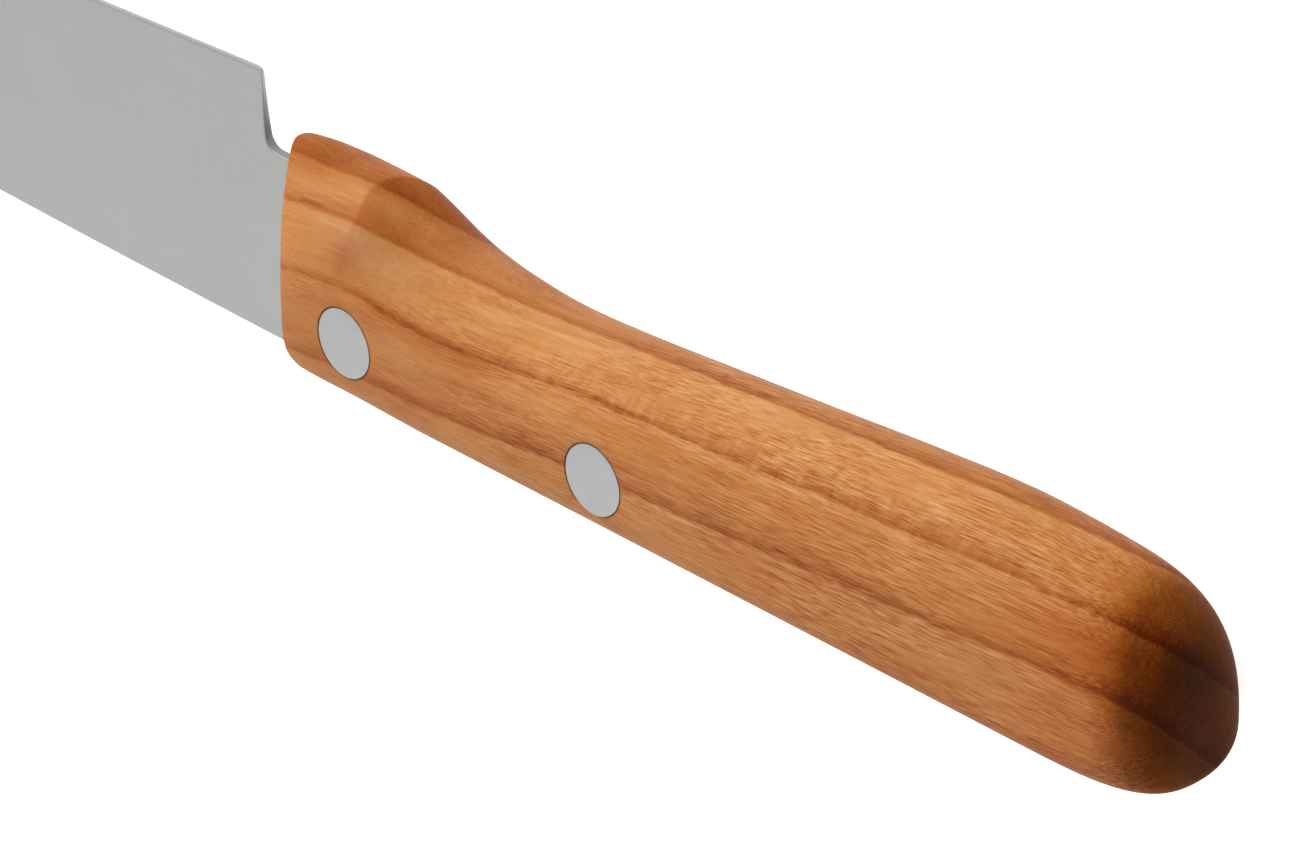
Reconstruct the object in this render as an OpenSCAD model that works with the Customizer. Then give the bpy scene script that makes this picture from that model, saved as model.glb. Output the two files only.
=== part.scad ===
// Petty knife: a thin steel blade with a partial tang, riveted into the slot of a one-piece wooden handle.
// Lengths in millimetres. The knife lies on its side: +X points to the tip, +Y to the spine, +Z up.
// The drawing starts at the front rivet on the blade's middle plane, and is then moved to the bottom centre of its box.

/* [Blade] */
// length of the cutting edge from heel to tip, along X
blade_length = 120; // [90:1:150]
// height of the blade at the heel, spine to edge
blade_height = 25.7; // [24:0.1:29]
// thickness of the blade at the spine and of the tang
blade_thickness = 1.6; // [1.2:0.1:2.2]
// thickness left at the cutting edge
edge_thickness = 0.3; // [0.2:0.05:0.5]
// height of the ground bevel above the cutting edge at the heel
grind_height = 14; // [8:0.5:17]
// how far the spine drops toward the tip
tip_drop = 7.4; // [4:0.1:10]

/* [Handle] */
// length of the wood from its front face to the end of the butt
handle_length = 99.8; // [90:0.1:115]
// thickness of the handle across its flat sides
handle_thickness = 14.6; // [13:0.1:17]
// distance from the front rivet to the front face of the wood
front_cover = 8.6; // [7.6:0.1:9.6]
// how squarely the cross-section is rounded, 2 is an ellipse
section_power = 2.3; // [2:0.1:2.8]

/* [Tang] */
// how far the tang runs behind the front rivet
tang_length = 43; // [40:1:50]
// distance from the rivet line to the tang's lower edge
tang_depth = 4.8; // [4.4:0.1:5.2]

/* [Rivets] */
// diameter of the two rivets
rivet_d = 6.4; // [5:0.1:6.6]
// distance between the two rivets along the handle
rivet_gap = 30.5; // [28:0.5:33]
// radial clearance of the rivet bores
rivet_clearance = 0.03; // [0.02:0.01:0.1]

/* [Hidden] */
$fn = 96;
half_t = handle_thickness / 2;
// spine line of blade and wood, measured from the front rivet
spine_y = 8.5;
heel_y = spine_y - blade_height;
heel_x = front_cover + 9;
tip_x = heel_x + blade_length;
butt_x = front_cover - handle_length;
// stretch of the handle behind the front rivet
k = -butt_x / 91.2;
rear_x = -rivet_gap;
rear_y = 0.7;
move_x = -(tip_x + butt_x) / 2;
move_y = -(spine_y + heel_y) / 2;

// edge-side outline of the handle: finger guard, finger recess, swell toward the butt
edge_line = [
    [-80 * k, -11.2], [-70 * k, -11.5], [-60 * k, -10.8], [-48 * k, -9.6], [-36 * k, -8.4],
    [-24, -7.2], [-16, -6.8], [-10, -7.4], [-6, -8.3], [-3, -9.4],
    [-1, -10.4], [1, -11.6], [4, -11.8], [9, -12.1], [15, -12.6]
];
// front outline of the wood: [y, x ahead of the front face], straight by the spine, running forward at the guard
front_line = [[-14, 7.8], [-13, 5.3], [-10, 2], [-7, 0.5], [-4, -0.3], [2, -0.2], [10, 0]];

// ---- smooth curve through a list of points ----
function lin(a, b, t) = a + (b - a) * t;
function seg(p, x, i = 0) = (i >= len(p) - 2 || x < p[i + 1][0]) ? i : seg(p, x, i + 1);
function slope(p, i) =
    i == 0 ? (p[1][1] - p[0][1]) / (p[1][0] - p[0][0]) :
    i == len(p) - 1 ? (p[i][1] - p[i - 1][1]) / (p[i][0] - p[i - 1][0]) :
    (p[i + 1][1] - p[i - 1][1]) / (p[i + 1][0] - p[i - 1][0]);
function curve(p, x) =
    let (c = max(p[0][0], min(p[len(p) - 1][0], x)), i = seg(p, c), h = p[i + 1][0] - p[i][0], s = (c - p[i][0]) / h)
    (2 * s * s * s - 3 * s * s + 1) * p[i][1] + (s * s * s - 2 * s * s + s) * h * slope(p, i)
    + (3 * s * s - 2 * s * s * s) * p[i + 1][1] + (s * s * s - s * s) * h * slope(p, i + 1);

// ---- handle cross-section at x ----
// rounding of the butt: 1 along the handle, falling to 0 at its end
function cap(x, l, n) = let (q = max(0, min(1, (butt_x + l - x) / l))) pow(max(0, 1 - pow(q, n)), 1 / n);
butt_y = 4.2;
function wood_spine(x) = spine_y + 1.2 * min(x - 8, 0) / 88;
function cap_edge(x) = cap(x, 18.5, 3.8);
function cap_spine(x) = cap(x, 18.5, 3.6);
function y_edge(x) = butt_y + (curve(edge_line, x) - butt_y) * cap_edge(x);
function y_spine(x) = butt_y + (wood_spine(x) - butt_y) * cap_spine(x);
function y_wide(x) = butt_y + (-0.02 * x - butt_y) * min(cap_edge(x), cap_spine(x));
// the sides draw in a little at the nose of the guard
function nose(x) = 1 - 0.66 * pow(max(0, min(1.2, (x - 5) / 10)), 2);
function half_width(x) = 1.05 * half_t * cap(x, 14, 3.7) * nose(x);
function spow(v, e) = sign(v) * pow(abs(v), e);
function ring_point(x, a) =
    let (c = cos(a), s = sin(a), yw = y_wide(x))
    [x, yw + (s >= 0 ? y_edge(x) - yw : yw - y_spine(x)) * spow(s, 2 / section_power), half_width(x) * spow(c, 2 / section_power)];

body_n = 46;
cap_n = 14;
ring_n = 44;
body_end = butt_x + 18.5;
nose_x = front_cover + 6.6;
// stations along the handle, closer together at the guard and the butt
function body_at(i) = let (t = i / body_n) lin(nose_x, body_end, t < 0.5 ? 0.6 * t : lin(0.3, 1, (t - 0.5) * 2));
stations = concat(
    [for (i = [0:body_n]) body_at(i)],
    [for (i = [1:cap_n - 1]) body_end - 18.5 * sin(90 * i / cap_n)]
);

module wood_body() {
    n = len(stations);
    pts = concat(
        [for (x = stations, j = [0:ring_n - 1]) ring_point(x, 360 * (j + 0.5) / ring_n)],
        [[nose_x, y_wide(nose_x), 0], [butt_x, butt_y, 0]]
    );
    front = n * ring_n;
    back = front + 1;
    faces = concat(
        [for (j = [0:ring_n - 1]) [front, (j + 1) % ring_n, j]],
        [for (i = [0:n - 2], j = [0:ring_n - 1]) [i * ring_n + j, i * ring_n + (j + 1) % ring_n, (i + 1) * ring_n + (j + 1) % ring_n]],
        [for (i = [0:n - 2], j = [0:ring_n - 1]) [i * ring_n + j, (i + 1) * ring_n + (j + 1) % ring_n, (i + 1) * ring_n + j]],
        [for (j = [0:ring_n - 1]) [back, (n - 1) * ring_n + j, (n - 1) * ring_n + (j + 1) % ring_n]]
    );
    polyhedron(pts, faces, convexity = 6);
}

// what is cut away in front of the wood, seen from the side
module front_cut() {
    ys = [for (i = [0:24]) -13.5 + i];
    translate([0, 0, -20]) linear_extrude(40)
        polygon(concat(
            [for (y = ys) [front_cover + curve(front_line, y), y]],
            [[front_cover + 30, 10.5], [front_cover + 30, -13.5]]
        ));
}

// ---- blade outline ----
neck_x = heel_x - 0.35;
neck_y = -9.7;
belly_x = heel_x + blade_length * 0.48;
tip_y = spine_y - tip_drop;
function straight_edge(x) = heel_y + 0.055 * (x - heel_x);
function blade_edge(x) =
    straight_edge(x) + (x <= belly_x ? 0 : (tip_y - straight_edge(tip_x)) * pow((x - belly_x) / (tip_x - belly_x), 2.2));
function blade_spine(x) = spine_y - tip_drop * pow((x - front_cover) / (tip_x - front_cover), 3.6);

module blade_shape() {
    edge_pts = [for (i = [0:40]) let (x = lin(heel_x + 0.5, tip_x, i / 40)) [x, blade_edge(x)]];
    spine_pts = [for (i = [1:39]) let (x = lin(tip_x, front_cover, i / 40)) [x, blade_spine(x)]];
    // round inner corner between choil and neck
    choil_pts = [for (i = [0:6]) let (a = 90 * i / 6) [neck_x - 1.4 + 1.4 * cos(a), neck_y - 1.4 + 1.4 * sin(a)]];
    polygon(concat(
        edge_pts, spine_pts,
        tang_outline(0),
        reverse_list(choil_pts),
        [[heel_x - 0.1, heel_y + 3.8], [heel_x, heel_y + 1.8], [heel_x + 0.04, heel_y + 0.6], [heel_x + 0.18, heel_y + 0.2]]
    ));
}
function reverse_list(p) = [for (i = [len(p) - 1:-1:0]) p[i]];

// tang inside the wood, from the spine at the front face round to the neck
function tang_outline(lift) = concat(
    [for (i = [0:8]) let (x = lin(front_cover, -tang_length + 4, i / 8)) [x, wood_spine(x) + lift]],
    [[-tang_length, wood_spine(-tang_length) + lift],
     [-tang_length, -tang_depth + 3.6],
     [-tang_length + 2, -tang_depth + 2],
     [-8, -tang_depth],
     [1, -tang_depth],
     [3.5, -tang_depth - 1],
     [5.5, -tang_depth - 3],
     [7, neck_y + 0.4],
     [8, neck_y]]
);

// wedge that grinds one face down to the cutting edge
module grind_cut() {
    n = 44;
    half = blade_thickness / 2;
    xs = [for (i = [0:n]) lin(heel_x - 4, tip_x + 2, i / n)];
    function ye(x) = blade_edge(min(x, tip_x));
    drop = (half - edge_thickness / 2) / grind_height;
    pts = [for (x = xs) each [
        [x, ye(x) + grind_height, half],
        [x, ye(x) - 3, edge_thickness / 2 - 3 * drop],
        [x, ye(x) - 3, half + 1],
        [x, ye(x) + grind_height, half + 1]
    ]];
    faces = concat(
        [[0, 2, 1], [0, 3, 2]],
        [for (i = [0:n - 1], j = [0:3]) [4 * i + j, 4 * i + (j + 1) % 4, 4 * i + 4 + (j + 1) % 4]],
        [for (i = [0:n - 1], j = [0:3]) [4 * i + j, 4 * i + 4 + (j + 1) % 4, 4 * i + 4 + j]],
        [[4 * n, 4 * n + 1, 4 * n + 2], [4 * n, 4 * n + 2, 4 * n + 3]]
    );
    polyhedron(pts, faces, convexity = 4);
}

module rivet_bore(x, y) {
    translate([x, y, -20]) cylinder(d = rivet_d + 2 * rivet_clearance, h = 40);
}

module place() {
    translate([move_x, move_y, half_t]) children();
}

// ---- sub-parts ----
module blade() {
    color([0.72, 0.72, 0.71]) place() difference() {
        translate([0, 0, -blade_thickness / 2]) linear_extrude(blade_thickness) blade_shape();
        grind_cut();
        mirror([0, 0, 1]) grind_cut();
        rivet_bore(0, 0);
        rivet_bore(rear_x, rear_y);
    }
}

module handle() {
    color([0.74, 0.47, 0.27]) place() difference() {
        intersection() {
            wood_body();
            translate([butt_x - 5, -30, -half_t]) cube([handle_length + 30, 60, handle_thickness]);
        }
        front_cut();
        translate([0, 0, -blade_thickness / 2]) linear_extrude(blade_thickness)
            polygon(concat([[front_cover + 8, spine_y + 3]], tang_outline(3), [[front_cover + 8, neck_y]]));
        rivet_bore(0, 0);
        rivet_bore(rear_x, rear_y);
    }
}

module rivet(x, y) {
    color([0.75, 0.75, 0.75]) place() translate([x, y, -half_t]) cylinder(d = rivet_d, h = handle_thickness);
}

module rivet_front() { rivet(0, 0); }
module rivet_rear() { rivet(rear_x, rear_y); }

blade();
handle();
rivet_front();
rivet_rear();
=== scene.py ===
import math

import bmesh
import bpy
import numpy as np
from mathutils import Matrix, Vector


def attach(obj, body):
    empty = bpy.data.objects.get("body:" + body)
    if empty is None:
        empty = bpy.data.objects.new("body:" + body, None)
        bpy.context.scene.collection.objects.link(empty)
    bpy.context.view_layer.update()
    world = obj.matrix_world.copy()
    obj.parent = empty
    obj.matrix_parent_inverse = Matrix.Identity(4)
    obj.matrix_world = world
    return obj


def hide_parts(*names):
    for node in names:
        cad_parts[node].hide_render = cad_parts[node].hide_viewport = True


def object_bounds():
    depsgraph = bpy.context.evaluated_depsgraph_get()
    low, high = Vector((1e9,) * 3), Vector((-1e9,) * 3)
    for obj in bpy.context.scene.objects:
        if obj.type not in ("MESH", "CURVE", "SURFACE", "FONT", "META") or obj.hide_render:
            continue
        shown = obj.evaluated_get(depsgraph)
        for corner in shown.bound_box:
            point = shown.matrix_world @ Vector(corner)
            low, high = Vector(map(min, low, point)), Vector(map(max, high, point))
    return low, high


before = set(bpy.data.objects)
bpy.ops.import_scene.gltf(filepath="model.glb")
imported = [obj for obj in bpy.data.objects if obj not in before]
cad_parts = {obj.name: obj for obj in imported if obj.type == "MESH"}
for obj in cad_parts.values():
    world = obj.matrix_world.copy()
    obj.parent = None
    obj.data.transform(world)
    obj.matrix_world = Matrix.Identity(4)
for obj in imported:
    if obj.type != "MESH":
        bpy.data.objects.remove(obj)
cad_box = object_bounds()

# Petty knife lying on its side. Shapes are worked out in millimetres from the front rivet's axis on the
# blade's middle plane (+X to the tip, +Y to the spine, +Z up) and then moved to the CAD frame in metres.

ORIGIN = np.array((cad_box[0][0] * 1000 + 91.2, cad_box[1][1] * 1000 - 8.5, (cad_box[0][2] + cad_box[1][2]) * 500))
REAR = np.array((-30.5, 0.7))

HALF_T = 7.3
FRONT = 8.6
BUTT_X = -91.2
BUTT_Y = 4.2
SPINE_Y = 8.498
HEEL_X, HEEL_Y = 17.6, -17.2
TIP_X, TIP_Y = 137.6, 1.1
NECK_X, NECK_Y = 17.25, -9.7
CREASE_X = 2.3
TANG_END = -43.0


# ------------------------------------------------------------------ curves
def curve(knots, x):
    """Smooth curve through the knots."""
    k = np.asarray(knots, float)
    xk, yk = k[:, 0], k[:, 1]
    n = len(xk)
    m = np.empty(n)
    m[1:-1] = (yk[2:] - yk[:-2]) / (xk[2:] - xk[:-2])
    m[0] = (yk[1] - yk[0]) / (xk[1] - xk[0])
    m[-1] = (yk[-1] - yk[-2]) / (xk[-1] - xk[-2])
    x = np.clip(np.asarray(x, float), xk[0], xk[-1])
    i = np.clip(np.searchsorted(xk, x, side="right") - 1, 0, n - 2)
    h = xk[i + 1] - xk[i]
    s = (x - xk[i]) / h
    return ((2 * s**3 - 3 * s**2 + 1) * yk[i] + (s**3 - 2 * s**2 + s) * h * m[i]
            + (3 * s**2 - 2 * s**3) * yk[i + 1] + (s**3 - s**2) * h * m[i + 1])


# edge-side outline of the handle, in two pieces that meet at the crease behind the guard
GRIP_LINE = [(-80, -11.2), (-70, -11.5), (-60, -10.8), (-48, -9.6), (-36, -8.4), (-24, -7.2), (-16, -6.8),
             (-10, -7.4), (-6, -8.3), (-3, -9.4), (-1, -10.34), (0.8, -11.2), (CREASE_X, -11.82)]
GUARD_LINE = [(CREASE_X, -11.82), (4, -11.87), (6.5, -11.93), (9, -12.17), (11, -12.39), (13, -12.4),
              (15, -12.27), (17, -12.15)]
FRONT_LINE = [(-14, 8.7), (-13, 5.75), (-12.4, 4.55), (-11.6, 3.42), (-10, 2.05), (-7, 0.6), (-4.4, -0.14),
              (-1.5, -0.36), (0.5, -0.38), (2.4, -0.3), (4.5, -0.26), (7, -0.12), (10, 0)]


def edge_line(x):
    return np.where(x < CREASE_X, curve(GRIP_LINE, x), curve(GUARD_LINE, x))


def cap(x, length, n):
    q = np.clip((BUTT_X + length - x) / length, 0, 1)
    return np.maximum(0, 1 - q**n) ** (1 / n)


def wood_spine(x):
    return SPINE_Y + 1.2 * np.minimum(x - 8, 0) / 88


def crease_shift(a):
    """The crease lies further back on the shoulder than on the finger side."""
    t = np.clip((7.6 * np.abs(np.cos(a)) ** 0.87 - 1.0) / 3.8, 0, 1)
    return 0.25 - 1.3 * t * t * (3 - 2 * t)


def section(x, a):
    """Point of the handle's skin at station x and angle a: (y, z)."""
    ce, cs = cap(x, 18.5, 3.8), cap(x, 18.5, 3.6)
    ye = BUTT_Y + (edge_line(x - crease_shift(a) * np.exp(-((x - 2.0) / 6.0) ** 2)) - BUTT_Y) * ce
    ys = BUTT_Y + (wood_spine(x) - BUTT_Y) * cs
    yw = BUTT_Y + (-0.02 * x - BUTT_Y) * np.minimum(ce, cs)
    c, s = np.cos(a), np.sin(a)
    e = 2 / 2.3
    # the nose narrows on the guard's side, and hardly at all on the spine's
    k = np.clip(-s / 0.8, 0, 1)
    nose = 1 - (0.66 - 0.5 * k * k * (3 - 2 * k)) * np.clip((x - 5) / 10, 0, 1.2) ** 2
    hw = 1.05 * HALF_T * cap(x, 14, 3.7) * nose
    y = yw + np.where(s >= 0, ye - yw, yw - ys) * np.sign(s) * np.abs(s) ** e
    z = hw * np.abs(c) ** e
    soft = 0.1
    z = -soft * np.log(np.exp(-z / soft) + math.exp(-HALF_T / soft)) + soft * np.log1p(np.exp(-(z + HALF_T) / soft))
    # the spine-side shoulder falls away a little toward the front
    f = np.clip((x + 8) / 11, 0, 1)
    g = np.clip((y - 3.6) / 3.2, 0, 1)
    z = np.maximum(z, 0) * np.sign(c) * (1 - 0.047 * f * f * (3 - 2 * f) * g * g * (3 - 2 * g))
    return y, z


# ------------------------------------------------------------------ mesh helpers
def to_frame(p):
    return (np.asarray(p, float) + ORIGIN) / 1000.0


def new_object(name, verts, faces):
    me = bpy.data.meshes.new(name)
    me.from_pydata([tuple(v) for v in to_frame(verts)], [], [tuple(int(i) for i in f) for f in faces])
    me.validate()
    ob = bpy.data.objects.new(name, me)
    bpy.context.scene.collection.objects.link(ob)
    return ob


def tidy(ob, merge=1e-7):
    bm = bmesh.new()
    bm.from_mesh(ob.data)
    bmesh.ops.remove_doubles(bm, verts=bm.verts, dist=merge)
    bmesh.ops.dissolve_degenerate(bm, edges=bm.edges, dist=merge)
    bmesh.ops.recalc_face_normals(bm, faces=bm.faces)
    bm.to_mesh(ob.data)
    bm.free()


def cut(ob, *tools):
    """Takes the tools' solids out of ob."""
    for tool in tools:
        mod = ob.modifiers.new("cut", "BOOLEAN")
        mod.operation = "DIFFERENCE"
        mod.solver = "EXACT"
        mod.object = tool
    bpy.context.view_layer.update()
    dg = bpy.context.evaluated_depsgraph_get()
    me = bpy.data.meshes.new_from_object(ob.evaluated_get(dg))
    old = ob.data
    ob.modifiers.clear()
    ob.data = me
    bpy.data.meshes.remove(old)
    me.name = ob.name
    for tool in tools:
        data = tool.data
        bpy.data.objects.remove(tool)
        bpy.data.meshes.remove(data)


def smooth(ob, degrees):
    ob.data.shade_smooth()
    ob.data.set_sharp_from_angle(angle=math.radians(degrees))


def lathe(name, profile, centre, n=128):
    """Solid of revolution about Z through centre. profile is [(radius, z)] from the lower to the upper pole."""
    verts, faces = [], []
    rings = []
    for r, z in profile:
        if r < 1e-6:
            rings.append([len(verts)])
            verts.append((centre[0], centre[1], z))
        else:
            rings.append(list(range(len(verts), len(verts) + n)))
            for i in range(n):
                t = 2 * math.pi * i / n
                verts.append((centre[0] + r * math.cos(t), centre[1] + r * math.sin(t), z))
    for a, b in zip(rings, rings[1:]):
        for i in range(n):
            j = (i + 1) % n
            if len(a) == 1:
                faces.append((a[0], b[j], b[i]))
            elif len(b) == 1:
                faces.append((a[i], a[j], b[0]))
            else:
                faces.append((a[i], a[j], b[j], b[i]))
    ob = new_object(name, np.array(verts), faces)
    tidy(ob)
    return ob


# ------------------------------------------------------------------ blade outline
def edge_y(x):
    straight = HEEL_Y + 0.055 * (x - HEEL_X)
    belly = HEEL_X + 57.6
    rise = TIP_Y - (HEEL_Y + 0.055 * (TIP_X - HEEL_X))
    return straight + rise * np.clip((x - belly) / (TIP_X - belly), 0, 1) ** 2.2


def blade_spine(x):
    return SPINE_Y - (SPINE_Y - TIP_Y) * np.clip((x - FRONT) / (TIP_X - FRONT), 0, 1) ** 3.6


def steel_spine(x):
    return np.where(x < FRONT, wood_spine(x), blade_spine(x))


TANG_LINE = [(-43, -1.2), (-41, -2.8), (-8, -4.8), (1, -4.8), (3.5, -5.8), (5.5, -7.8), (7, -9.3), (8, NECK_Y), (30, NECK_Y)]


def steel_lower(x):
    t = np.array(TANG_LINE)
    return np.interp(x, t[:, 0], t[:, 1])


# outline of heel, choil and neck, from the edge upward
CHOIL = [(18.15, -17.17), (17.95, -17.15), (17.8, -17.06), (17.7, -16.9), (17.65, -16.65), (17.63, -16.3), (17.61, -15.7),
         (17.58, -15.0), (17.54, -14.2), (17.49, -13.4), (17.43, -12.6), (17.35, -11.8)]
CHOIL += [(NECK_X - 1.4 + 1.4 * math.cos(t), NECK_Y - 1.4 + 1.4 * math.sin(t)) for t in np.radians(np.linspace(0, 90, 12))]
CHOIL = np.array(CHOIL)
CHOIL[0, 1] = edge_y(CHOIL[0, 0])
RIM = np.vstack([CHOIL, [(8, NECK_Y)]])


def rim_distance(x, y):
    p = np.stack([np.ravel(x), np.ravel(y)], 1)[:, None, :]
    a, b = RIM[None, :-1], RIM[None, 1:]
    t = np.clip(((p - a) * (b - a)).sum(2) / ((b - a) ** 2).sum(2), 0, 1)
    d = np.linalg.norm(p - (a + t[..., None] * (b - a)), axis=2).min(1)
    return d.reshape(np.shape(x))


def eased(d, radius, low):
    q = 1 - np.clip(d / radius, 0, 1)
    return low + (1 - low) * np.sqrt(1 - q * q)


def half_thickness(x, y):
    d = np.maximum(y - edge_y(x), 0)
    h = 0.15 + 0.65 * np.minimum(1, d / 14)
    bevel = 0.27
    hb = 0.15 + 0.65 * bevel / 14
    h = np.where(d < bevel, 0.03 + (hb - 0.03) * d / bevel, h)
    return h


def blade_mesh():
    # rows: along the choil up to the neck, then up the neck to the spine
    above = np.concatenate([NECK_Y + np.array([0.04, 0.1, 0.18, 0.28, 0.4, 0.55, 0.8, 1.2]),
                            np.linspace(-8.0, -3.8, 7), [-3.45, -3.3, -3.2, -3.1, -2.9], np.linspace(-2.4, 7.9, 14),
                            [8.2, 8.32, 8.41, 8.47, 8.5]])
    left = np.vstack([CHOIL, np.stack([np.full(len(above), NECK_X - 1.4), above], 1)])
    jn = len(CHOIL) - 1
    nr = len(left)
    off = np.concatenate([[0, 0.02, 0.05, 0.1, 0.16, 0.24, 0.33, 0.43, 0.55, 0.75, 1.05, 1.5, 2.1, 2.9],
                          np.linspace(4, 110, 90), np.linspace(111, 120, 14)[:-1], [119.6, 119.9, 120]]) / 120.0
    t = (left[:, 1] - edge_y(left[:, 0])) / (blade_spine(left[:, 0]) - edge_y(left[:, 0]))
    t[0], t[-1] = 0, 1
    x = left[None, :, 0] + (TIP_X - left[None, :, 0]) * off[:, None]
    # even rows further from the heel, so that they do not bunch up where they started at the choil
    y = edge_y(x) + t[None] * (blade_spine(x) - edge_y(x))
    h = half_thickness(x, y) * eased(rim_distance(x, y), 0.26, 0.62) * eased(blade_spine(x) - y + 1e-9, 0.16, 0.84)
    h = np.where(y - edge_y(x) < 0.02, np.minimum(h, 0.03), h)
    verts = []
    ids = {}

    def put(key, p):
        ids[key] = len(verts)
        verts.append(p)

    nc = len(off)
    for side in (1, -1):
        for i in range(nc):
            for j in range(nr):
                put((side, i, j), (x[i, j], y[i, j], side * h[i, j]))
    # tang, from the neck back
    xt = np.concatenate([[15.2, 14.6, 14, 13.4, 12.8, 12.2, 11.6, 11, 10.4, 9.8, 9.2, 8.6, 8.0, 7.0, 6.2, 5.5, 4.5, 3.5, 2.2, 1.0],
                         np.linspace(-1, -39, 14), [-41, -42, -43]])
    rows = np.arange(jn, nr)
    tau = (left[rows, 1] - NECK_Y) / (SPINE_Y - NECK_Y)
    tau[0], tau[-1] = 0, 1
    X = np.repeat(xt[:, None], len(rows), 1)
    Y = steel_lower(X) + tau[None] * (steel_spine(X) - steel_lower(X))
    Hh = half_thickness(X, Y)
    Hh = np.where(X < 8.0, 0.8 + (Hh - 0.8) * np.clip((X - 4) / 4, 0, 1), Hh)
    Hh = Hh * eased(np.where(X > 7.9, rim_distance(X, Y), 9.0), 0.26, 0.62) * eased(steel_spine(X) - Y + 1e-9, 0.1, 0.9)
    for side in (1, -1):
        for i in range(len(xt)):
            for n, j in enumerate(rows):
                put((side, -1 - i, j), (X[i, n], Y[i, n], side * Hh[i, n]))
    faces = []
    for side in (1, -1):
        def quad(a, b, c, d):
            q = [ids[(side,) + k] for k in (a, b, c, d)]
            faces.append(q if side > 0 else q[::-1])
        for i in range(nc - 1):
            for j in range(nr - 1):
                quad((i, j), (i + 1, j), (i + 1, j + 1), (i, j + 1))
        for i in range(len(xt)):
            for j in rows[:-1]:
                quad((-1 - i, j), (-i, j), (-i, j + 1), (-1 - i, j + 1))

    def wall(path):
        for a, b in zip(path, path[1:]):
            faces.append([ids[(1,) + b], ids[(1,) + a], ids[(-1,) + a], ids[(-1,) + b]])
    last = -len(xt)
    wall([(i, 0) for i in range(nc)])
    wall([(i, nr - 1) for i in range(nc - 1, -1, -1)] + [(-1 - i, nr - 1) for i in range(len(xt))])
    wall([(last, j) for j in rows[::-1]])
    wall([(i, jn) for i in range(last, 0)] + [(0, jn)])
    wall([(0, j) for j in range(jn, -1, -1)])
    ob = new_object("blade_steel_body", np.array(verts), faces)
    tidy(ob)
    return ob


def slot_tool():
    """The tang a hair larger, open at the spine: the slot in the wood."""
    xs = np.concatenate([[TANG_END - 0.015, -41], np.linspace(-39, -1, 14), [1, 2.2, 3.5, 4.5, 5.5, 6.2, 7, 8, 8.6, 9.2, 9.8, 10.4, 11, 11.6,
                         12.2, 12.8, 13.4, 14, 14.6, 15.2, 16, 19]])
    ts = np.concatenate([[0, 0.02, 0.05, 0.1], np.linspace(0.16, 1, 12)])
    X = np.repeat(xs[:, None], len(ts), 1)
    low = steel_lower(np.maximum(X, TANG_END)) - 0.015
    Y = low + ts[None] * (SPINE_Y + 3 - low)
    Hh = half_thickness(X, Y)
    Hh = np.where(X < 8.0, 0.8 + (Hh - 0.8) * np.clip((X - 4) / 4, 0, 1), Hh) + 0.012
    n, m = X.shape
    verts = [(X[i, j], Y[i, j], s * Hh[i, j]) for s in (1, -1) for i in range(n) for j in range(m)]
    def vid(s, i, j):
        return (0 if s > 0 else n * m) + i * m + j
    faces = []
    for i in range(n - 1):
        for j in range(m - 1):
            faces.append([vid(1, i, j), vid(1, i + 1, j), vid(1, i + 1, j + 1), vid(1, i, j + 1)])
            faces.append([vid(-1, i, j), vid(-1, i, j + 1), vid(-1, i + 1, j + 1), vid(-1, i + 1, j)])
    for i in range(n - 1):
        faces.append([vid(1, i + 1, 0), vid(1, i, 0), vid(-1, i, 0), vid(-1, i + 1, 0)])
        faces.append([vid(1, i, m - 1), vid(1, i + 1, m - 1), vid(-1, i + 1, m - 1), vid(-1, i, m - 1)])
    for j in range(m - 1):
        faces.append([vid(1, 0, j), vid(1, 0, j + 1), vid(-1, 0, j + 1), vid(-1, 0, j)])
        faces.append([vid(1, n - 1, j + 1), vid(1, n - 1, j), vid(-1, n - 1, j), vid(-1, n - 1, j + 1)])
    ob = new_object("tool_slot", np.array(verts), faces)
    tidy(ob)
    return ob


def bore_tool(name, x, y, r, flare):
    z = HALF_T
    prof = [(0, -z - 2), (r + flare, -z - 2), (r + flare, -z - 0.02), (r, -z + flare + 0.02),
            (r, z - flare - 0.02), (r + flare, z + 0.02), (r + flare, z + 2), (0, z + 2)]
    return lathe(name, prof, (x, y))


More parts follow.
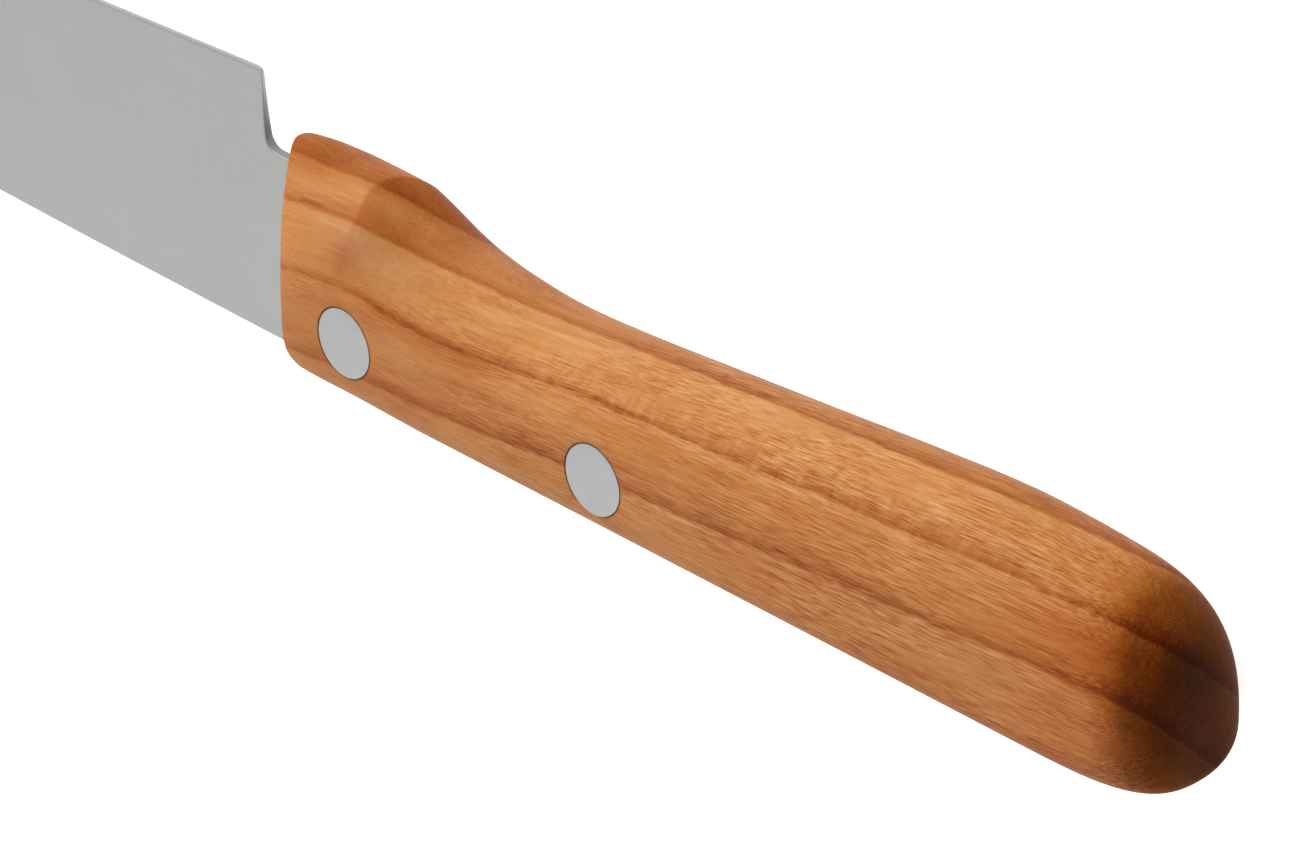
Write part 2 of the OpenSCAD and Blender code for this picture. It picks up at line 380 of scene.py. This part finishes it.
# ------------------------------------------------------------------ handle
def handle_mesh():
    na = 176
    a = 2 * np.pi * (np.arange(na) + 0.5) / na
    xf = np.full(na, FRONT)
    for _ in range(60):
        y, z = section(xf, a)
        xf = 0.5 * xf + 0.5 * (FRONT + curve(FRONT_LINE, y))
    arris = 0.16
    start = xf - arris
    x1 = BUTT_X + 18.5
    s1 = np.linspace(0, 1, 30, endpoint=False)
    s2 = np.linspace(0, 1, 190, endpoint=False)
    s2 = 0.5 * s2 + 0.5 * s2**2
    s3 = np.linspace(0, 1, 66)[:-1]
    xc = CREASE_X + crease_shift(a)
    xs = np.vstack([start[None] + (xc - start)[None] * s1[:, None],
                    xc[None] + (x1 - xc)[None] * s2[:, None],
                    np.repeat((x1 - 18.5 * np.sin(s3 * np.pi / 2))[:, None], na, 1)])
    y, z = section(xs, np.broadcast_to(a, xs.shape))
    rings = [np.stack([xs[i], y[i], z[i]], 1) for i in range(len(xs))]
    # rounded arris and the flat front face
    yc = -1.0
    front = []
    for f, inset in ((0.3, 0.0), (0.08, 0.05), (0.0, 0.16)):
        xr = xf - arris * f
        yr, zr = section(xr, a)
        d = np.hypot(yr - yc, zr)
        k = 1 - inset / d
        yr, zr = yc + (yr - yc) * k, zr * k
        if f == 0.0:
            xr = FRONT + curve(FRONT_LINE, yr)
        elif inset:
            xr = FRONT + curve(FRONT_LINE, yr) - 0.05
        front.append(np.stack([xr, yr, zr], 1))
    rings = front[::-1] + rings
    nr = len(rings)
    verts = np.vstack(rings + [np.array([[BUTT_X, BUTT_Y, 0]])])
    faces = []
    for i in range(nr - 1):
        for j in range(na):
            k = (j + 1) % na
            faces.append((i * na + j, i * na + k, (i + 1) * na + k, (i + 1) * na + j))
    pole = nr * na
    for j in range(na):
        faces.append(((nr - 1) * na + j, (nr - 1) * na + (j + 1) % na, pole))
    # front face: straight strips from one side of the rim to the other
    right = list(range(na // 4 - 1, -1, -1)) + list(range(na - 1, 3 * na // 4 - 1, -1))
    left = [(na // 2 - 1 - j) % na for j in right]
    for r0, r1, l0, l1 in zip(right, right[1:], left, left[1:]):
        faces.append((r0, r1, l1, l0))
    ob = new_object("handle_wood_body", verts, faces)
    tidy(ob)
    return ob


blade = blade_mesh()
cut(blade, lathe("tool_a", [(0, -9), (3.215, -9), (3.215, 9), (0, 9)], (0, 0)),
    lathe("tool_b", [(0, -9), (3.215, -9), (3.215, 9), (0, 9)], (REAR[0], REAR[1])))
smooth(blade, 28)

handle = handle_mesh()
cut(handle, slot_tool(), bore_tool("tool_c", 0, 0, 3.23, 0.1), bore_tool("tool_d", REAR[0], REAR[1], 3.23, 0.1))
smooth(handle, 38)


def rivet_mesh(name, x, y):
    r, z = 3.2, HALF_T
    up = [(r, 0), (r, z - 0.035), (r - 0.01, z - 0.014), (r - 0.024, z - 0.004), (r - 0.045, z),
          (2.4, z), (1.6, z), (0.8, z), (0, z)]
    down = [(q, -w) for q, w in up[::-1]]
    ob = lathe(name, down[:-1] + up[1:], (x, y), 144)
    smooth(ob, 50)
    return ob


rivet_a = rivet_mesh("rivet_front_pin", 0, 0)
rivet_b = rivet_mesh("rivet_rear_pin", REAR[0], REAR[1])


# ------------------------------------------------------------------ materials
class Nodes:
    """Small helper to write node trees."""

    def __init__(self, name):
        self.mat = bpy.data.materials.new(name)
        self.mat.use_nodes = True
        self.t = self.mat.node_tree
        self.t.nodes.clear()
        self.out = self.t.nodes.new("ShaderNodeOutputMaterial")
        self.bsdf = self.t.nodes.new("ShaderNodeBsdfPrincipled")
        self.t.links.new(self.bsdf.outputs[0], self.out.inputs[0])

    def plug(self, value, socket):
        if isinstance(value, bpy.types.NodeSocket):
            self.t.links.new(value, socket)
        else:
            socket.default_value = value

    def coords(self):
        """Place on the object in millimetres from the front rivet's axis."""
        tc = self.t.nodes.new("ShaderNodeTexCoord")
        v = self.t.nodes.new("ShaderNodeVectorMath")
        v.operation = "MULTIPLY_ADD"
        self.t.links.new(tc.outputs["Object"], v.inputs[0])
        v.inputs[1].default_value = (1000, 1000, 1000)
        v.inputs[2].default_value = tuple(-ORIGIN)
        return v.outputs[0]

    def split(self, v):
        n = self.t.nodes.new("ShaderNodeSeparateXYZ")
        self.plug(v, n.inputs[0])
        return n.outputs[0], n.outputs[1], n.outputs[2]

    def join(self, x, y, z):
        n = self.t.nodes.new("ShaderNodeCombineXYZ")
        for i, v in enumerate((x, y, z)):
            self.plug(v, n.inputs[i])
        return n.outputs[0]

    def math(self, op, a, b=None, c=None, clamp=False):
        n = self.t.nodes.new("ShaderNodeMath")
        n.operation = op
        n.use_clamp = clamp
        for i, v in enumerate((a, b, c)):
            if v is not None:
                self.plug(v, n.inputs[i])
        return n.outputs[0]

    def add(self, a, b):
        return self.math("ADD", a, b)

    def sub(self, a, b):
        return self.math("SUBTRACT", a, b)

    def mul(self, a, b):
        return self.math("MULTIPLY", a, b)

    def mad(self, a, b, c):
        return self.math("MULTIPLY_ADD", a, b, c)

    def noise(self, v, scale=1.0, detail=2.0, rough=0.5, distortion=0.0):
        n = self.t.nodes.new("ShaderNodeTexNoise")
        n.noise_dimensions = "3D"
        self.plug(v, n.inputs["Vector"])
        n.inputs["Scale"].default_value = scale
        n.inputs["Detail"].default_value = detail
        n.inputs["Roughness"].default_value = rough
        n.inputs["Distortion"].default_value = distortion
        return n.outputs[0]

    def step(self, v, a, b, lo=0.0, hi=1.0):
        n = self.t.nodes.new("ShaderNodeMapRange")
        n.interpolation_type = "SMOOTHSTEP"
        n.clamp = True
        self.plug(v, n.inputs[0])
        for i, k in enumerate((a, b, lo, hi)):
            n.inputs[i + 1].default_value = k
        return n.outputs[0]

    def span(self, v, a, b, lo=0.0, hi=1.0):
        n = self.t.nodes.new("ShaderNodeMapRange")
        n.clamp = True
        self.plug(v, n.inputs[0])
        for i, k in enumerate((a, b, lo, hi)):
            n.inputs[i + 1].default_value = k
        return n.outputs[0]

    def ramp(self, v, stops, interpolation="LINEAR"):
        n = self.t.nodes.new("ShaderNodeValToRGB")
        n.color_ramp.interpolation = interpolation
        e = n.color_ramp.elements
        while len(e) > 1:
            e.remove(e[-1])
        e[0].position = stops[0][0]
        e[0].color = self.rgba(stops[0][1])
        for p, c in stops[1:]:
            k = e.new(p)
            k.color = self.rgba(c)
        self.plug(v, n.inputs[0])
        return n.outputs[0]

    @staticmethod
    def rgba(c):
        return (c, c, c, 1) if not hasattr(c, "__len__") else (*c, 1)

    def mix(self, fac, a, b, mode="MIX"):
        n = self.t.nodes.new("ShaderNodeMix")
        n.data_type = "RGBA"
        n.blend_type = mode
        n.clamp_factor = True
        self.plug(fac, n.inputs[0])
        for s, v in ((6, a), (7, b)):
            if isinstance(v, bpy.types.NodeSocket):
                self.t.links.new(v, n.inputs[s])
            else:
                n.inputs[s].default_value = self.rgba(v)
        return n.outputs[2]

    def bump(self, height, strength, distance, normal=None):
        n = self.t.nodes.new("ShaderNodeBump")
        n.inputs["Strength"].default_value = strength
        n.inputs["Distance"].default_value = distance
        self.plug(height, n.inputs["Height"])
        if normal is not None:
            self.plug(normal, n.inputs["Normal"])
        return n.outputs[0]

    def normal_x(self):
        g = self.t.nodes.new("ShaderNodeNewGeometry")
        n = self.t.nodes.new("ShaderNodeSeparateXYZ")
        self.t.links.new(g.outputs["Normal"], n.inputs[0])
        return n.outputs[0]

    def normal_z(self):
        g = self.t.nodes.new("ShaderNodeNewGeometry")
        n = self.t.nodes.new("ShaderNodeSeparateXYZ")
        self.t.links.new(g.outputs["Normal"], n.inputs[0])
        return n.outputs[2]

    def set(self, **values):
        for k, v in values.items():
            self.plug(v, self.bsdf.inputs[k.replace("_", " ")])


# growth-ring boundaries, measured across the rings in millimetres
RINGS = [-19.0, -11.75, -6.0, 2.25, 10.0, 17.5]


def wood():
    m = Nodes("oiled_fruit_wood")
    p = m.coords()
    x, y, z = m.split(p)
    q = m.sub(y, z)
    r0 = m.mad(x, -0.075, m.add(y, z))

    def hump(v, centre, width):
        t = m.mul(m.sub(v, centre), 1.0 / width)
        return m.math("EXPONENT", m.mul(m.mul(t, t), -1.0))

    # slow drift and small waves of the rings along the handle
    slow = m.noise(m.join(m.mul(x, 0.05), m.mul(r0, 0.06), m.mul(q, 0.03)), 1.0, 1.0, 0.4)
    wave = m.noise(m.join(m.mul(x, 0.2), m.mul(r0, 0.16), m.mul(q, 0.1)), 1.0, 2.0, 0.5)
    fine = m.noise(m.join(m.mul(x, 0.9), m.mul(r0, 0.7), m.mul(q, 0.5)), 1.0, 2.0, 0.55)
    r = m.mad(hump(x, 1.0, 5.0), 0.25, m.mad(hump(x, -15.0, 7.0), -0.35, r0))
    r = m.mad(m.mul(m.step(x, -15.0, -3.0), m.step(r0, -1.0, -4.0)), -0.72, r)
    r = m.mad(m.mul(hump(x, -11.0, 8.0), hump(r0, 3.0, 3.0)), -0.8, r)
    rs = m.mad(m.sub(slow, 0.5), 0.8, r)
    r = m.mad(m.sub(wave, 0.5), 0.5, rs)
    rr = m.mad(m.sub(fine, 0.5), 0.4, r)

    # late wood: builds up slowly to a dark line and ends sharply
    depth = (0.46, 0.5, 0.5, 0.56, 0.36)
    early = (0.07, 0.05, -0.02, 0.07, 0.13)
    stops = [(RINGS[0], 0.3)]
    for a, b, d, e in zip(RINGS, RINGS[1:], depth, early):
        w = b - a
        stops += [(a + 0.3, e + 0.1), (a + 0.45 * w, e + 0.16), (b - 2.4, e + 0.23), (b - 1.1, e + 0.23 + 0.3 * (d - 0.2)),
                  (b - 0.45, 0.3 + 0.75 * (d - 0.2)), (b - 0.1, d + 0.1)]
    lo_r, hi_r = RINGS[0], RINGS[-1]
    late = m.ramp(m.span(rr, lo_r, hi_r), [((pos - lo_r) / (hi_r - lo_r), v) for pos, v in stops])
    late = m.mul(m.sub(m.split(late)[0], 0.1), m.step(x, 4.0, -32.0, 0.72, 1.0))
    late = m.mad(m.mul(m.step(r, 1.8, 2.6), m.step(x, -22.0, -4.0)), 0.08, late)
    late = m.mad(m.step(x, -1.0, 3.0), 0.04, late)
    late = m.mad(m.mul(m.step(r, 1.0, -2.0), m.step(x, -44.0, -60.0)), 0.035, late)

    # fibres run along the handle and undulate together
    und = m.noise(m.join(m.mul(x, 0.3), m.mul(r0, 0.2), m.mul(q, 0.16)), 1.0, 2.0, 0.5)
    fr = m.mad(m.sub(und, 0.5), 0.22, m.mad(m.sub(wave, 0.5), 0.2, rs))
    fq = m.mad(m.sub(wave, 0.5), 0.2, q)
    streak = m.noise(m.join(m.mul(x, 0.014), m.mul(fr, 2.0), m.mul(fq, 1.8)), 1.0, 2.0, 0.55)
    fib = m.noise(m.join(m.mul(x, 0.1), m.mul(fr, 4.4), m.mul(fq, 4.0)), 1.0, 2.0, 0.6)
    hair = m.noise(m.join(m.mul(x, 0.32), m.mul(fr, 5.6), m.mul(fq, 5.3)), 1.0, 1.0, 0.6)
    hair = m.step(hair, 0.36, 0.64)
    mott = m.noise(m.join(m.mul(x, 0.10), m.mul(r, 0.36), m.mul(q, 0.3)), 1.0, 3.0, 0.55, 0.4)
    # vessels: short dark dashes, in patches
    ves = m.noise(m.join(m.mul(x, 0.34), m.mul(fr, 6.4), m.mul(fq, 6.0)), 1.0, 1.0, 0.5)
    patch = m.noise(m.join(m.mul(x, 0.07), m.mul(r, 0.25), m.mul(q, 0.2)), 1.0, 2.0, 0.5)
    dash = m.mul(m.step(ves, 0.55, 0.63), m.step(patch, 0.30, 0.62, 0.4, 1.0))
    # thin long fibre lines
    vein = m.noise(m.join(m.mul(x, 0.07), m.mul(fr, 3.4), m.mul(fq, 3.1)), 1.0, 1.0, 0.5)
    thin = m.step(m.math("ABSOLUTE", m.sub(vein, 0.5)), 0.055, 0.01)
    thin = m.mul(thin, m.step(m.noise(m.join(m.mul(x, 0.3), m.mul(r, 0.9), m.mul(q, 0.8)), 1.0, 2.0, 0.5), 0.38, 0.6))
    # ripple across the grain on one side of the widest ring
    rip = m.noise(m.join(m.mul(x, 1.15), m.mul(r, 0.3), m.mul(q, 0.2)), 1.0, 2.0, 0.6, 0.5)
    rip_zone = m.mul(m.mul(m.step(r, -3.2, 0.4), m.step(r, 3.6, 2.2)), m.step(x, -8.0, -24.0, 0.25, 1.0))

    live = m.step(x, 4.0, -40.0, 0.36, 1.0)
    tone = m.mad(m.mul(m.sub(fib, 0.5), live), 0.3, late)
    tone = m.mad(m.mul(m.sub(streak, 0.5), live), 0.44, tone)
    tone = m.mad(m.mul(m.sub(hair, 0.5), live), m.step(patch, 0.35, 0.62, 0.14, 0.38), tone)
    tone = m.mad(m.sub(mott, 0.5), 0.46, tone)
    tone = m.mad(m.mul(m.sub(rip, 0.5), rip_zone), 0.5, tone)
    tone = m.mad(m.mul(dash, live), 0.24, tone)
    tone = m.mad(m.mul(thin, live), 0.15, tone)
    # rings and rays show darker on the end grain
    nx = m.normal_x()
    rear = m.mul(m.step(m.mul(nx, -1.0), 0.06, 0.52), m.step(x, -55.0, -74.0, 0.4, 1.0))
    rays = m.noise(m.join(m.mul(x, 0.5), m.mul(r, 0.7), m.mul(q, 4.4)), 1.0, 2.0, 0.6)
    tone = m.mad(m.mul(late, rear), m.step(r, 11.0, 14.0, 0.7, 0.1), tone)
    tone = m.mad(m.mul(m.sub(rays, 0.5), rear), 0.5, tone)
    # a few darker flecks in the guard
    fleck = m.mul(hump(x, 6.5, 2.6), hump(r0, -6.0, 0.9))
    smear = m.noise(m.join(m.mul(x, 0.34), m.mul(r0, 1.5), m.mul(q, 0.9)), 1.0, 2.0, 0.5)
    tone = m.mad(m.mul(fleck, m.step(smear, 0.34, 0.66)), 0.34, tone)
    # the oldest ring on the finger side is darker and redder
    old = m.mul(m.step(r, -10.0, -11.6), m.step(x, -20.0, 0.0))
    tone = m.mad(old, 0.16, tone)
    # painted shade: the guard's edge-side band is darker, for its roundover turned from the light
    tone = m.mad(m.mul(m.step(x, 4.5, 9.0), m.step(r0, -7.8, -10.4)), 0.16, tone)
    tone = m.mad(m.mul(hump(x, -6.0, 6.0), hump(r, 1.9, 0.6)), 0.1, tone)
    tone = m.math("ADD", tone, 0.2, clamp=True)
    colour = m.ramp(tone, [(0.0, (0.725, 0.385, 0.153)), (0.22, (0.628, 0.284, 0.095)), (0.40, (0.558, 0.219, 0.061)),
                           (0.62, (0.46, 0.148, 0.030)), (0.88, (0.325, 0.087, 0.012)), (1.0, (0.25, 0.059, 0.006))])
    red = m.step(m.noise(m.join(m.mul(x, 0.08), m.mul(r, 0.28), m.mul(q, 0.22)), 1.0, 2.0, 0.5), 0.42, 0.72)
    warm = m.math("MAXIMUM", m.math("MAXIMUM", red, m.mul(old, 0.4)), m.mul(hump(x, -33.0, 12.0), hump(r0, 4.0, 1.6)))
    colour = m.mix(m.mul(warm, 0.42), colour, (0.9, 0.66, 0.5), "MULTIPLY")
    # the wood that follows the middle ring starts deeper in colour
    after = m.mul(m.mul(m.step(r, 1.6, 2.3), m.step(r, 6.5, 2.4)), m.mul(m.step(x, 1.0, -5.0), m.step(x, -26.0, -13.0)))
    colour = m.mix(m.mul(after, 0.75), colour, (0.8, 0.58, 0.46), "MULTIPLY")
    # painted shade in the hollow behind the guard: darker and redder there
    hollow_shade = m.mul(m.mul(m.step(x, -19.0, -4.0), m.step(x, 3.0, 1.0, 0.35, 1.0)), m.step(r, -5.4, -6.6))
    colour = m.mix(m.mul(hollow_shade, 0.8), colour, (0.99, 0.89, 0.97), "MULTIPLY")

    # painted shade just behind the crease: a darker, deeper amber
    crease_shade = m.mul(hump(x, 0.8, 2.1), hump(r0, -1.5, 2.5))
    colour = m.mix(m.mul(crease_shade, 0.95), colour, (0.77, 0.54, 0.46), "MULTIPLY")

    # painted sheen: a paler patch behind the guard stands in for the soft highlight on the crease's curve
    painted_sheen = m.mul(hump(x, -1.8, 4.2), hump(r0, -3.4, 2.0))
    colour = m.mix(m.mul(painted_sheen, 0.3), colour, (0.63, 0.37, 0.225))

    # end grain drinks more oil: redder toward the butt, then dark
    speck = m.noise(p, 1.3, 3.0, 0.6)
    blush = m.mul(hump(x, -83.0, 6.0), hump(r0, 6.0, 3.0))
    colour = m.mix(m.mul(blush, 0.8), colour, (0.9, 0.7, 0.58), "MULTIPLY")
    colour = m.mix(m.step(x, -73.0, -84.0), colour, (0.97, 0.85, 0.74), "MULTIPLY")
    end = m.math("MAXIMUM", m.mul(rear, m.step(r, 11.0, 15.0, 1.0, 0.72)), m.mul(m.step(nx, 0.6, 0.98), 0.6))
    soaked = m.ramp(m.mul(end, m.mad(speck, 0.3, 0.85)), [(0.0, (1.0, 1.0, 1.0)), (0.3, (0.92, 0.84, 0.66)), (0.62, (0.74, 0.62, 0.28)),
                                                          (1.0, (0.45, 0.31, 0.1))])
    colour = m.mix(1.0, colour, soaked, "MULTIPLY")
    # darkest toward the middle of the butt: partly the end grain's own colour, partly painted shade where the butt
    # faces away from the light
    heart_and_shade = m.mul(m.mul(m.step(m.mul(nx, -1.0), 0.7, 0.96), hump(r0, 2.6, 4.2)), m.step(z, -3.2, 0.4))
    colour = m.mix(m.mul(heart_and_shade, m.mad(speck, 0.4, 0.65)), colour, (0.42, 0.42, 0.4), "MULTIPLY")

    # dark rim where the polish collects round the rivets
    def ring(cx, cy):
        dx, dy = m.sub(x, cx), m.sub(y, cy)
        d = m.math("SQRT", m.add(m.mul(dx, dx), m.mul(dy, dy)))
        return m.step(d, 3.52, 3.22)
    rim = m.math("MAXIMUM", ring(0.0, 0.0), ring(float(REAR[0]), float(REAR[1])))
    colour = m.mix(m.mul(rim, 0.75), colour, (0.2, 0.16, 0.13), "MULTIPLY")

    height = m.mad(thin, -0.4, m.mad(dash, -0.7, m.mad(hair, 0.5, m.mul(fib, 0.3))))
    rough = m.mad(m.sub(fib, 0.5), 0.14, m.mad(dash, 0.08, m.mad(end, 0.16, 0.46)))
    m.set(Base_Color=colour, Roughness=rough, Normal=m.bump(height, 0.3, 0.00005))
    m.bsdf.inputs["Specular IOR Level"].default_value = 0.12
    return m.mat


def steel():
    m = Nodes("satin_steel")
    p = m.coords()
    x, y, z = m.split(p)
    lines = m.noise(m.join(m.mul(x, 14.0), m.mul(y, 0.22), m.mul(z, 2.0)), 1.0, 3.0, 0.6)
    longs = m.noise(m.join(m.mul(x, 0.12), m.mul(y, 9.0), m.mul(z, 2.0)), 1.0, 3.0, 0.6)
    cloud = m.noise(p, 0.09, 3.0, 0.55)
    tone = m.mad(m.sub(lines, 0.5), 0.17, m.mad(m.sub(longs, 0.5), 0.09, m.mad(m.sub(cloud, 0.5), 0.14, 0.5)))
    colour = m.ramp(tone, [(0.3, (0.32, 0.32, 0.315)), (0.5, (0.392, 0.392, 0.386)), (0.7, (0.464, 0.464, 0.457))])
    # painted light: the blade's walls get a lighter colour than its flanks, where the lamps hardly reach them
    wall = m.step(m.math("ABSOLUTE", m.normal_z()), 0.6, 0.2)
    grit = m.noise(m.join(m.mul(x, 3.0), m.mul(y, 3.0), m.mul(z, 9.0)), 1.0, 3.0, 0.6)
    colour = m.mix(m.mul(wall, 0.85), colour, m.ramp(grit, [(0.3, (0.5, 0.5, 0.495)), (0.7, (0.66, 0.66, 0.655))]))
    # painted light on the choil's wall at the heel, and painted shade in its curve, laid over a highlight on the rim
    near = m.mul(m.step(x, HEEL_X + 1.2, HEEL_X + 0.4), m.step(y, -8.0, -9.5))
    rim = m.mul(near, m.step(m.math("ABSOLUTE", m.normal_z()), 0.985, 0.85))
    colour = m.mix(m.mul(m.mul(near, wall), m.step(y, -12.6, -16.6)), colour, (0.9, 0.92, 0.925))
    colour = m.mix(m.mul(rim, m.step(y, -13.2, -11.2)), colour, (0.38, 0.385, 0.385))
    # the honed cutting bevel is a little brighter, with a thin dark line where it meets the flank
    belly = HEEL_X + 57.6
    rise = TIP_Y - (HEEL_Y + 0.055 * (TIP_X - HEEL_X))
    up = m.sub(m.mad(x, -0.055, y), HEEL_Y - 0.055 * HEEL_X)
    up = m.mad(m.math("POWER", m.span(x, belly, TIP_X), 2.2), -rise, up)
    honed = m.mul(m.step(up, 0.33, 0.25), m.step(wall, 0.9, 0.4))
    seam = m.mul(m.step(m.math("ABSOLUTE", m.sub(up, 0.33)), 0.13, 0.03), m.step(x, HEEL_X - 0.2, HEEL_X + 0.6))
    colour = m.mix(m.mul(honed, 0.2), colour, (0.62, 0.62, 0.615))
    colour = m.mix(m.mul(seam, 0.14), colour, (0.3, 0.3, 0.3), "MULTIPLY")
    rough = m.mad(m.sub(lines, 0.5), 0.16, m.mad(m.sub(cloud, 0.5), 0.08, m.mad(honed, -0.14, m.mad(wall, 0.1, 0.53))))
    m.set(Base_Color=colour, Metallic=0.7, Roughness=rough,
          Normal=m.bump(m.mad(longs, 0.4, lines), 0.18, 0.00002))
    return m.mat


def aluminium():
    m = Nodes("ground_aluminium")
    p = m.coords()
    x, y, z = m.split(p)
    marks = m.noise(m.join(m.mul(m.mad(y, 0.35, x), 1.1), m.mul(m.mad(x, -0.35, y), 12.0), m.mul(z, 3.0)), 1.0, 3.0, 0.6)
    cloud = m.noise(p, 0.55, 3.0, 0.6)
    tone = m.mad(m.sub(marks, 0.5), 0.22, m.mad(m.sub(cloud, 0.5), 0.22, 0.5))
    colour = m.ramp(tone, [(0.3, (0.36, 0.36, 0.362)), (0.5, (0.42, 0.42, 0.423)), (0.7, (0.48, 0.48, 0.483))])
    rough = m.mad(m.sub(marks, 0.5), 0.2, 0.56)
    m.set(Base_Color=colour, Metallic=0.7, Roughness=rough, Normal=m.bump(marks, 0.2, 0.00002))
    return m.mat


def floor_paint():
    m = Nodes("pale_floor")
    g = m.noise(m.coords(), 0.02, 2.0, 0.5)
    m.set(Base_Color=m.ramp(g, [(0.3, 0.90), (0.7, 0.92)]), Roughness=0.9)
    m.bsdf.inputs["Specular IOR Level"].default_value = 0.0
    m.bsdf.inputs["Emission Color"].default_value = (1, 1, 1, 1)
    m.bsdf.inputs["Emission Strength"].default_value = 0.85
    return m.mat


WOOD, STEEL, ALU = wood(), steel(), aluminium()
for ob, mat, node, slot in ((handle, WOOD, "handle", "handle_wood"), (blade, STEEL, "blade", "blade_steel"),
                            (rivet_a, ALU, "rivet_front", "rivet_aluminium"), (rivet_b, ALU, "rivet_rear", "rivet_aluminium")):
    ob.data.materials.clear()
    ob.data.materials.append(mat)
    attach(ob, "root")
    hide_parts(node)

# ------------------------------------------------------------------ floor, light, camera
fm = bpy.data.meshes.new("floor")
fm.from_pydata([(-6, -6, 0), (6, -6, 0), (6, 6, 0), (-6, 6, 0)], [], [(0, 1, 2, 3)])
floor = bpy.data.objects.new("floor", fm)
bpy.context.scene.collection.objects.link(floor)
floor.data.materials.append(floor_paint())
floor.visible_diffuse = False
floor.visible_glossy = False


def softbox(name, place, target, size, watts, colour=(1, 1, 1)):
    d = bpy.data.lights.new(name, "AREA")
    d.shape = "RECTANGLE"
    d.size, d.size_y = size
    d.energy = watts
    d.color = colour
    ob = bpy.data.objects.new(name, d)
    bpy.context.scene.collection.objects.link(ob)
    ob.location = place
    ob.rotation_mode = "QUATERNION"
    ob.rotation_quaternion = (Vector(target) - Vector(place)).to_track_quat("-Z", "Y")
    return ob


MID = (-0.03, 0.0, 0.007)
softbox("key", (0.648, -0.678, 0.581), MID, (0.9, 0.9), 7.6)
softbox("low", (0.182, -1.058, 0.219), MID, (0.6, 0.6), 8.8).visible_glossy = False
softbox("tip", (0.656, 0.545, 0.650), MID, (0.9, 0.9), 2.8)
softbox("back", (-0.03, 0.892, 0.651), MID, (0.9, 0.9), 6.4)

world = bpy.data.worlds.new("studio")
bpy.context.scene.world = world
world.use_nodes = True
world.node_tree.nodes["Background"].inputs[0].default_value = (1, 1, 1, 1)
wt = world.node_tree
path = wt.nodes.new("ShaderNodeLightPath")
where = wt.nodes.new("ShaderNodeTexCoord")
axes = wt.nodes.new("ShaderNodeSeparateXYZ")
below = wt.nodes.new("ShaderNodeMapRange")
gloss = wt.nodes.new("ShaderNodeMath")
level = wt.nodes.new("ShaderNodeMath")
wt.links.new(where.outputs["Generated"], axes.inputs[0])
wt.links.new(axes.outputs[2], below.inputs[0])
for i, k in enumerate((0.05, -0.1, 0.3, 0.6)):
    below.inputs[i + 1].default_value = k
deep = wt.nodes.new("ShaderNodeMapRange")
wt.links.new(axes.outputs[2], deep.inputs[0])
for i, k in enumerate((-0.3, -0.85, 0.12, 0.55)):
    deep.inputs[i + 1].default_value = k
gloss.operation, level.operation = "MULTIPLY", "ADD"
wt.links.new(below.outputs[0], gloss.inputs[0])
wt.links.new(path.outputs["Is Glossy Ray"], gloss.inputs[1])
wt.links.new(gloss.outputs[0], level.inputs[0])
wt.links.new(deep.outputs[0], level.inputs[1])
wt.links.new(level.outputs[0], wt.nodes["Background"].inputs[1])

cam_data = bpy.data.cameras.new("camera")
cam = bpy.data.objects.new("camera", cam_data)
bpy.context.scene.collection.objects.link(cam)
right, up, back = (Vector(v) for v in ((-0.69292, 0.012442, -0.720907), (0.354773, -0.864555, -0.355922), (-0.627692, -0.502384, 0.594654)))
cam.matrix_world = Matrix(((right.x, up.x, back.x, -0.41481), (right.y, up.y, back.y, -0.285571),
                           (right.z, up.z, back.z, 0.349896), (0, 0, 0, 1)))
cam_data.sensor_width = 36.0
cam_data.lens = 36.0 * 7000 / 1304
cam_data.clip_start, cam_data.clip_end = 0.01, 50
cam_data.dof.use_dof = False
bpy.context.scene.camera = cam

bpy.context.scene.view_settings.view_transform = "Standard"
bpy.context.scene.view_settings.look = "None"
